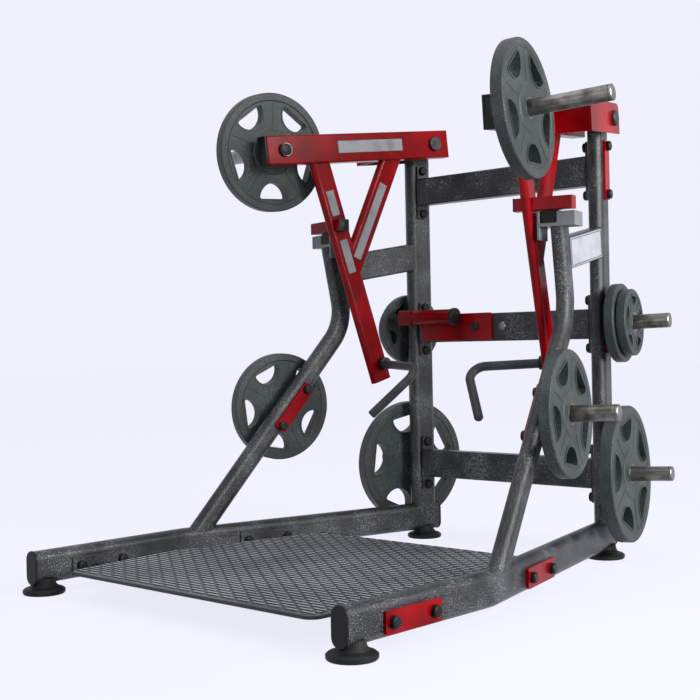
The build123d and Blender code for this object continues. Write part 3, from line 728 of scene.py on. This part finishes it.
@dataclass
class Tread:
    """Rows of short raised bars on the platform, every other row shifted by half a pitch."""

    finishes: Finishes
    bar: Triple = (0.047, 0.0105, 0.0034)
    bar_top: Triple = (0.92, 0.6, 1.0)
    sunk: float = 0.0004
    pitch_x: float = 0.058
    pitch_y: float = 0.0215
    margin: float = 0.014
    half_front: float = 0.500
    half_mid: float = 0.540
    half_rear: float = 0.425
    mid_back: float = 0.410

    def build(self) -> None:
        """Models one bar, repeats it over the sheet and trims the field to the sheet's outline."""
        low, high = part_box("platform_tread")
        length = high.y - low.y
        fields = []
        for shift in (0.0, 0.5):
            one = Bench.block(f"bar_{shift}", self.bar)
            Bench.select(one, "FACE", lambda c, n: n.z > 0.9)
            bpy.ops.transform.resize(value=self.bar_top)
            bpy.ops.object.mode_set(mode="OBJECT")
            Bench.select(one, "FACE", lambda c, n: n.z < -0.9)
            bpy.ops.mesh.delete(type="FACE")
            bpy.ops.object.mode_set(mode="OBJECT")
            across = int(2 * self.half_mid / self.pitch_x) + 2
            rows = int(length / (2 * self.pitch_y)) + 1
            for count, step in ((across, (self.pitch_x, 0, 0)), (rows, (0, 2 * self.pitch_y, 0))):
                spacing = {"use_relative_offset": False, "use_constant_offset": True}
                Bench.modifier(one, "ARRAY", count=count, constant_offset_displace=step, **spacing)
            start_x = -across / 2 * self.pitch_x + shift * self.pitch_x
            start_y = low.y + self.margin + self.pitch_y * (0.5 + 2 * shift)
            Bench.put(one, Matrix.Translation((start_x, start_y, high.z + self.bar[2] / 2 - self.sunk)))
            fields.append(one)
        bars = Bench.join(fields, "tread_bars")
        for sign in (1, -1):
            front = Vector((sign * (self.half_front - self.margin), low.y, 0))
            mid = Vector((sign * (self.half_mid - self.margin), low.y + self.mid_back, 0))
            rear = Vector((sign * (self.half_rear - self.margin), high.y, 0))
            self.trim(bars, front, mid, sign)
            self.trim(bars, mid, rear, sign)
        self.cut(bars, Vector((0, high.y - self.margin, 0)), Vector((0, 1, 0)))
        self.cut(bars, Vector((0, low.y + self.margin, 0)), Vector((0, -1, 0)))
        self.finishes.dress(bars, "tread_dash")
        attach(bars, "frame")
        log.info("tread bars: %d faces", len(bars.data.polygons))

    def trim(self, bars: bpy.types.Object, start: Vector, end: Vector, sign: int) -> None:
        """Cuts the field along one side of the sheet.

        Args:
            bars: The bars.
            start: One end of the side.
            end: Its other end.
            sign: 1 on the right, -1 on the left.
        """
        along = end - start
        self.cut(bars, start, Vector((along.y, -along.x, 0)) * sign)

    def cut(self, bars: bpy.types.Object, point: Vector, outward: Vector) -> None:
        """Removes what lies beyond a plane and leaves the cut open."""
        Bench.pick(bars)
        bpy.ops.object.mode_set(mode="EDIT")
        bpy.ops.mesh.select_all(action="SELECT")
        bpy.ops.mesh.bisect(plane_co=point, plane_no=outward, clear_outer=True, use_fill=False)
        bpy.ops.object.mode_set(mode="OBJECT")


@dataclass
class WeightPlate:
    """Cast details of one weight plate: lips round the hand holes, a rim line and a hub ring."""

    finishes: Finishes
    node: str
    mount: str
    radius: float
    thickness: float
    first_hole: float
    tilt: float = 0.0
    web: float = 0.86
    lip: float = 0.0045
    lip_height: float = 0.0018
    lip_seat: float = 0.0004
    hole_place: float = 0.78
    hole_big: float = 0.27
    hole_small: float = 0.22
    small_plate: float = 0.15
    holes: int = 5
    lines: tuple[tuple[float, float], ...] = ((0.33, 0.0022), (0.90, 0.0018))
    line_height: float = 0.0011
    rib: tuple[float, float] = (0.0022, 0.0013)
    rib_span: tuple[float, float] = (0.345, 0.885)
    insert: Triple = (0.0325, 0.0065, 0.0006)

    def build(self) -> None:
        """Builds the plate's details on the right side and mirrors them to the left."""
        for side in Side:
            name = f"{self.node}_{side.value}"
            low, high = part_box(f"{self.node}_right")
            middle = (low + high) / 2
            axis = Vector(MOUNTS[f"{self.mount}_right"]["axis"]).normalized()
            t = math.radians(self.tilt)
            rear = REAR * math.cos(t) + UP * math.sin(t)
            up = axis.cross(rear).normalized()
            basis = Matrix((rear, up, axis)).transposed().to_4x4()
            place = side.mirror() @ Matrix.Translation(middle) @ basis
            lips = Bench.join([self.hole_lips(name), *self.face_lines(name)], f"{name}_cast_lines")
            Bench.put(lips, place)
            self.finishes.dress(lips, "plate_iron")
            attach(lips, name)
            ring = self.hub(name)
            Bench.put(ring, place)
            self.finishes.dress(ring, "horn_steel")
            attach(ring, name)
            log.info("plate details: %s", name)

    def hole_lips(self, name: str) -> bpy.types.Object:
        """Raised lips round the hand holes, on both faces.

        Args:
            name: The plate's name.

        Returns:
            All lips as one object.
        """
        hole = self.radius * (self.hole_big if self.radius > self.small_plate else self.hole_small)
        one = Bench.disc(f"{name}_lip", hole + self.lip, 0.0, 64)
        Bench.pick(one)
        bpy.ops.object.mode_set(mode="EDIT")
        bpy.ops.mesh.select_all(action="SELECT")
        bpy.ops.mesh.bisect(plane_co=(self.lip, 0, 0), plane_no=(1, 0, 0), clear_outer=True)
        bpy.ops.object.mode_set(mode="OBJECT")
        Bench.select(one, "VERT", lambda c, n: c.x > self.lip - Bench.SEAT)
        bpy.ops.mesh.bevel(offset=hole * 0.2, segments=5, affect="VERTICES")
        bpy.ops.object.mode_set(mode="OBJECT")
        Bench.hollow(one, self.lip)
        Bench.thicken(one, self.lip_height + self.lip_seat)
        height = self.thickness * self.web / 2 - self.lip_seat
        Bench.put(one, Matrix.Translation((self.radius * self.hole_place, 0, height)))
        Bench.soften(one, 0.0008, 2)
        parts = [one]
        for face in (1, -1):
            for index in range(self.holes):
                if face == 1 and index == 0:
                    continue
                copy = Bench.twin(one, f"{name}_lip_{face}_{index}")
                Bench.put(copy, Matrix.Diagonal((1, 1, face, 1)) @ self.turn(index))
                parts.append(copy)
        Bench.put(one, self.turn(0))
        return Bench.join(parts, f"{name}_hole_lips")

    def turn(self, index: float) -> Matrix:
        """Turn from local X to a hole's direction; halves stand between two holes."""
        return Matrix.Rotation(math.radians(self.first_hole + 360 / self.holes * index), 4, "Z")

    def face_lines(self, name: str) -> list[bpy.types.Object]:
        """Raised hub circle, rim circle and one rib between neighbouring holes, on both faces.

        Args:
            name: The plate's name.

        Returns:
            The lines, each its own object.
        """
        parts = []
        face = self.thickness * self.web / 2
        for radius, width in self.lines:
            ring = Bench.ring(f"{name}_line_{radius}", self.radius * radius, width, self.line_height, face)
            parts.append(ring)
        start, end = (self.radius * share for share in self.rib_span)
        width, height = self.rib
        for index in range(self.holes):
            middle = ((start + end) / 2, 0, face + height / 2 - Bench.SEAT)
            rib = Bench.block(f"{name}_rib_{index}", (end - start, width, height), middle)
            Bench.soften(rib, 0.0004, 1)
            parts.append(Bench.put(rib, self.turn(index + 0.5)))
        for one in list(parts):
            copy = Bench.twin(one, f"{one.name}_back")
            parts.append(Bench.put(copy, Matrix.Diagonal((1, 1, -1, 1))))
        return parts

    def hub(self, name: str) -> bpy.types.Object:
        """Bright ring of the steel insert on the outer face."""
        return Bench.ring(f"{name}_hub_ring", *self.insert, self.thickness / 2, 56)


@dataclass
class ArmTrim:
    """Fitted pieces of the lever arms: end caps, handle collars and blank label strips."""

    finishes: Finishes
    tilt: float = 5.9
    plane: float = -0.087
    front: float = -0.712
    beam: tuple[float, float] = (0.100, 0.050)
    stop: Triple = (-0.128, -0.418, 1.1463)
    strut_top: tuple[float, float] = (-0.488, 1.366)
    strut_foot: tuple[float, float] = (-0.243, 0.598)
    rear_top: tuple[float, float] = (-0.186, 1.392)
    rear_join: tuple[float, float] = (-0.367, 0.985)
    strut_half: float = 0.015
    cap: float = 0.006
    stop_cap_size: tuple[float, float] = (0.0405, 0.005)
    horn_cap: Triple = (-0.112, -0.640, 1.395)
    horn_cap_size: tuple[float, float] = (0.0235, 0.0145)
    sleeve: Triple = (0.0228, 0.0016, 0.0225)
    sleeve_place: tuple[float, float] = (-0.245, 0.658)
    beam_label: tuple[float, float, float, float] = (0.277, 0.042, -0.2855, 0.003)
    strut_label: float = 0.031

    def build(self) -> None:
        """Builds both sides."""
        for side in Side:
            body = f"arm_{side.value}"
            pieces = [
                (self.end_cap(side), "black_plastic", "black_plastic"),
                (self.stop_cap(side), "black_plastic", "black_plastic"),
                (self.collar(side), "black_plastic", "black_plastic"),
                (self.bolt_cap(side), "black_plastic", "black_plastic"),
                (self.labels(side), "label_grey", "panel_grey"),
            ]
            for piece, finish, slot in pieces:
                self.finishes.dress(piece, finish)
                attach(piece, body)
                log.info("arm piece: %s", piece.name)

    def on_arm(self, side: Side, n: float, u: float, v: float = 0.0) -> Matrix:
        """Frame on the resting arm, u rearward and v upward from the pivot."""
        t = math.radians(self.tilt)
        pivot = JOINTS["arm_right_pivot"]["pos_m"][2]
        d = u * math.cos(t) - v * math.sin(t)
        z = pivot + u * math.sin(t) + v * math.cos(t)
        return side_frame(right_point(n, d, z), side, self.tilt)

    def end_cap(self, side: Side) -> bpy.types.Object:
        """Black plug in the arm's open front end, with a sunk middle and a rim."""
        made = Bench.block(f"arm_end_cap_{side.value}", (self.cap, *self.beam))
        Bench.select(made, "FACE", lambda c, n: n.x < -0.9)
        Bench.sink(self.cap, Vector((0.0025, 0, 0)))
        Bench.sink(0.008, Vector((-0.0015, 0, 0)))
        bpy.ops.object.mode_set(mode="OBJECT")
        Bench.soften(made, 0.0012)
        return Bench.put(made, self.on_arm(side, self.plane, self.front - self.cap / 2))

    def stop_cap(self, side: Side) -> bpy.types.Object:
        """Black plug on the inner end of the stop bar."""
        width, height = self.stop_cap_size
        made = Bench.block(f"stop_bar_cap_{side.value}", (width, width, height))
        Bench.select(made, "FACE", lambda c, n: n.z < -0.9)
        Bench.sink(0.005, Vector((0, 0, -0.0015)))
        bpy.ops.object.mode_set(mode="OBJECT")
        Bench.soften(made, 0.001)
        n, d, z = self.stop
        return Bench.put(made, side_frame(right_point(n - height / 2, d, z), side))

    def bolt_cap(self, side: Side) -> bpy.types.Object:
        """Black cap over the nut of the plate horn, on the arm's inner face."""
        made = Bench.plug(f"horn_nut_cap_{side.value}", *self.horn_cap_size)
        turn = Matrix.Rotation(math.pi, 4, "X")
        return Bench.put(made, side_frame(right_point(*self.horn_cap), side) @ turn)

    def collar(self, side: Side) -> bpy.types.Object:
        """Black sleeve round the handle where it leaves the strut."""
        radius, wall, length = self.sleeve
        made = Bench.disc(f"handle_collar_{side.value}", radius, 0.0, 40)
        Bench.hollow(made, wall)
        Bench.thicken(made, -length)
        Bench.soften(made, 0.0006, 2)
        place = right_point(self.plane - self.strut_half, *self.sleeve_place)
        return Bench.put(made, side_frame(place, side))

    def strip(self, name: str, length: float, height: float) -> bpy.types.Object:
        """Thin blank label with a raised middle, standing along local X.

        Args:
            name: The new object's name.
            length: Its length.
            height: Its height.

        Returns:
            The label.
        """
        made = Bench.block(name, (length, height, 0.0005))
        Bench.select(made, "FACE", lambda c, n: n.z > 0.9)
        Bench.sink(0.002, Vector((0, 0, Bench.SEAT)))
        bpy.ops.object.mode_set(mode="OBJECT")
        Bench.soften(made, 0.0002, 1)
        return made

    def labels(self, side: Side) -> bpy.types.Object:
        """Blank strips on the inner face of the arm and of its two struts.

        Args:
            side: The arm's side.

        Returns:
            All strips as one object.
        """
        length, height, u, v = self.beam_label
        made = self.strip(f"label_{side.value}", length, height)
        place = self.on_arm(side, self.plane - self.beam[1] / 2 - Bench.SEAT, u, v)
        turn = Matrix.Rotation(math.pi, 4, "X")
        parts = [Bench.put(made, place @ turn)]
        legs = (
            (self.strut_top, self.strut_foot, 0.13, 0.24),
            (self.strut_top, self.strut_foot, 0.35, 0.50),
            (self.rear_top, self.rear_join, 0.22, 0.88),
        )
        for top, foot, start, end in legs:
            a = Vector(top).lerp(Vector(foot), start)
            b = Vector(top).lerp(Vector(foot), end)
            made = self.strip(f"label_{side.value}_{start}", (b - a).length, self.strut_label)
            middle = (a + b) / 2
            tilt = math.degrees(math.atan2(b.y - a.y, b.x - a.x))
            point = right_point(self.plane - self.strut_half - Bench.SEAT, middle.x, middle.y)
            parts.append(Bench.put(made, side_frame(point, side, tilt) @ turn))
        return Bench.join(parts, f"arm_labels_{side.value}")


@dataclass
class SideLabels:
    """Thin dark border round each blank side panel."""

    finishes: Finishes
    size: tuple[float, float] = (0.300, 0.083)
    thickness: float = 0.0006
    line: float = 0.0022
    line_height: float = 0.0004
    slope: float = 9.4
    place: Triple = (0.026, -0.209, 1.056)

    def build(self) -> None:
        """Builds both borders."""
        n, d, z = self.place
        z += d * math.tan(math.radians(self.slope))
        for side in Side:
            name = f"panel_border_{side.value}"
            made = Bench.block(name, (*self.size, self.thickness))
            Bench.select(made, "FACE", lambda c, n: n.z < 0.9)
            bpy.ops.mesh.delete(type="FACE")
            bpy.ops.object.mode_set(mode="OBJECT")
            Bench.hollow(made, self.line)
            Bench.thicken(made, self.line_height)
            Bench.put(made, side_frame(right_point(n, d, z), side, self.slope))
            self.finishes.dress(made, "black_plastic")
            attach(made, "frame")
            log.info("panel border: %s", name)


@dataclass
class BoltCaps:
    """Black push-on caps over the bolt heads on the front of the middle beam and its bracket."""

    finishes: Finishes
    radius: float = 0.016
    height: float = 0.009
    places: tuple[Triple, ...] = ((-0.098, 0.6202, 0.785), (0.015, 0.6302, 0.783))
    slots: tuple[str, ...] = ("black_plastic", "horn_steel")

    def build(self) -> None:
        """Builds each cap facing forward."""
        for index, (place, slot) in enumerate(zip(self.places, self.slots)):
            cap = Bench.plug(f"beam_bolt_cap_{index}", self.radius, self.height)
            Bench.put(cap, Matrix.Translation(place) @ Matrix.Rotation(math.pi / 2, 4, "X"))
            self.finishes.dress(cap, slot)
            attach(cap, "frame")
        log.info("beam bolt caps: %d", len(self.places))


@dataclass
class Frame:
    """The CAD nodes, each given its finish."""

    finishes: Finishes

    def build(self) -> None:
        """Dresses every node with the finish its material slot names."""
        slots = {s["node"]: s["material_slot"] for s in frame["record"]["subparts"]}
        for name, obj in frame["nodes"].items():
            self.finishes.dress(obj, slots[name])
        log.info("CAD nodes dressed: %d", len(slots))


# ------------------------------------------------------------------ studio


@dataclass
class Studio:
    """Floor, soft light and camera."""

    pale: Triple = (0.863, 0.879, 0.975)
    eye: Triple = (2.58383, -2.94382, 0.72595)
    right: Triple = (0.73433, 0.67850, -0.01980)
    up: Triple = (0.01199, 0.01621, 0.99980)
    ahead: Triple = (-0.67868, 0.73442, -0.00377)
    lens: float = 63.81
    floor_size: float = 60.0
    glow: Triple = (0.795, 0.810, 0.899)
    floor_tones: tuple[Triple, Triple] = ((0.068, 0.069, 0.076), (0.072, 0.073, 0.080))

    def build(self) -> None:
        """Builds the whole studio."""
        self.floor()
        self.sky()
        self.softbox("key", (4.6, 0.3, 2.0), (0.0, 0.3, 1.0), (2.2, 2.6), 400.0)
        self.softbox("top", (0.3, -0.4, 4.2), (0.0, 0.1, 0.0), (3.5, 3.5), 45.0)
        self.softbox("front", (0.6, -4.6, 1.9), (0.0, 0.0, 0.8), (3.0, 2.0), 15.0)
        self.camera()
        log.info("studio built")

    def floor(self) -> None:
        """Wide pale floor, mostly its own even glow so that shadows stay faint."""
        Bench.clear()
        bpy.ops.mesh.primitive_plane_add(size=self.floor_size, location=(0, 0, 0))
        ground = bpy.context.object
        ground.name = "studio_floor"
        g = Graph("studio_floor")
        color = g.blend(g.noise(0.7, 2.0), *self.floor_tones)
        glow = {"Emission_Color": (*self.glow, 1.0), "Emission_Strength": 1.0, "Specular_IOR_Level": 0.0}
        rough = g.noise(3.0) * 0.1 + 0.85
        ground.data.materials.append(g.finish(color, rough, g.noise(40.0), 0.0, **glow))

    def sky(self) -> None:
        """Even pale surroundings."""
        world = bpy.data.worlds.new("studio")
        bpy.context.scene.world = world
        world.use_nodes = True
        back = world.node_tree.nodes["Background"]
        back.inputs["Color"].default_value = (*self.pale, 1.0)
        back.inputs["Strength"].default_value = 1.0

    def softbox(
        self, name: str, place: Triple, target: Triple, size: tuple[float, float], power: float
    ) -> None:
        """Adds one rectangular light.

        Args:
            name: Its name.
            place: Where it stands.
            target: The point it faces.
            size: Width and height.
            power: Watts.
        """
        light = bpy.data.lights.new(name, "AREA")
        light.shape = "RECTANGLE"
        light.size, light.size_y = size
        light.energy = power
        obj = bpy.data.objects.new(name, light)
        bpy.context.scene.collection.objects.link(obj)
        turn = (Vector(target) - Vector(place)).to_track_quat("-Z", "Y").to_matrix().to_4x4()
        obj.matrix_world = Matrix.Translation(place) @ turn

    def camera(self) -> None:
        """Camera in front of the machine's right side, a little above its middle."""
        data = bpy.data.cameras.new("view")
        data.lens = self.lens
        data.sensor_width = 36.0
        obj = bpy.data.objects.new("view", data)
        bpy.context.scene.collection.objects.link(obj)
        basis = Matrix((Vector(self.right), Vector(self.up), -Vector(self.ahead))).transposed().to_4x4()
        obj.matrix_world = Matrix.Translation(self.eye) @ basis
        bpy.context.scene.camera = obj


# node, mount, radius, thickness, direction of the first hole and tilt of the horn
PLATES = (
    ("arm_plate", "arm_horn", 0.204, 0.039, -94.0, 5.9),
    ("brace_plate", "brace_horn", 0.188, 0.037, -100.0, 0.0),
    ("lower_plate", "lower_horn", 0.225, 0.044, -114.0, 0.0),
    ("upper_plate_inner", "upper_horn", 0.130, 0.033, -90.0, 0.0),
    ("upper_plate_outer", "upper_horn", 0.110, 0.033, -60.0, 0.0),
)


def main() -> None:
    """Builds everything in order."""
    logging.basicConfig(level=logging.INFO, stream=sys.stdout)
    bpy.context.scene.view_settings.view_transform = "Standard"
    finishes = Finishes().build()
    Frame(finishes).build()
    Tread(finishes).build()
    ArmTrim(finishes).build()
    SideLabels(finishes).build()
    BoltCaps(finishes).build()
    for plate in PLATES:
        WeightPlate(finishes, *plate).build()
    Studio().build()


if __name__ == "__main__":
    main()
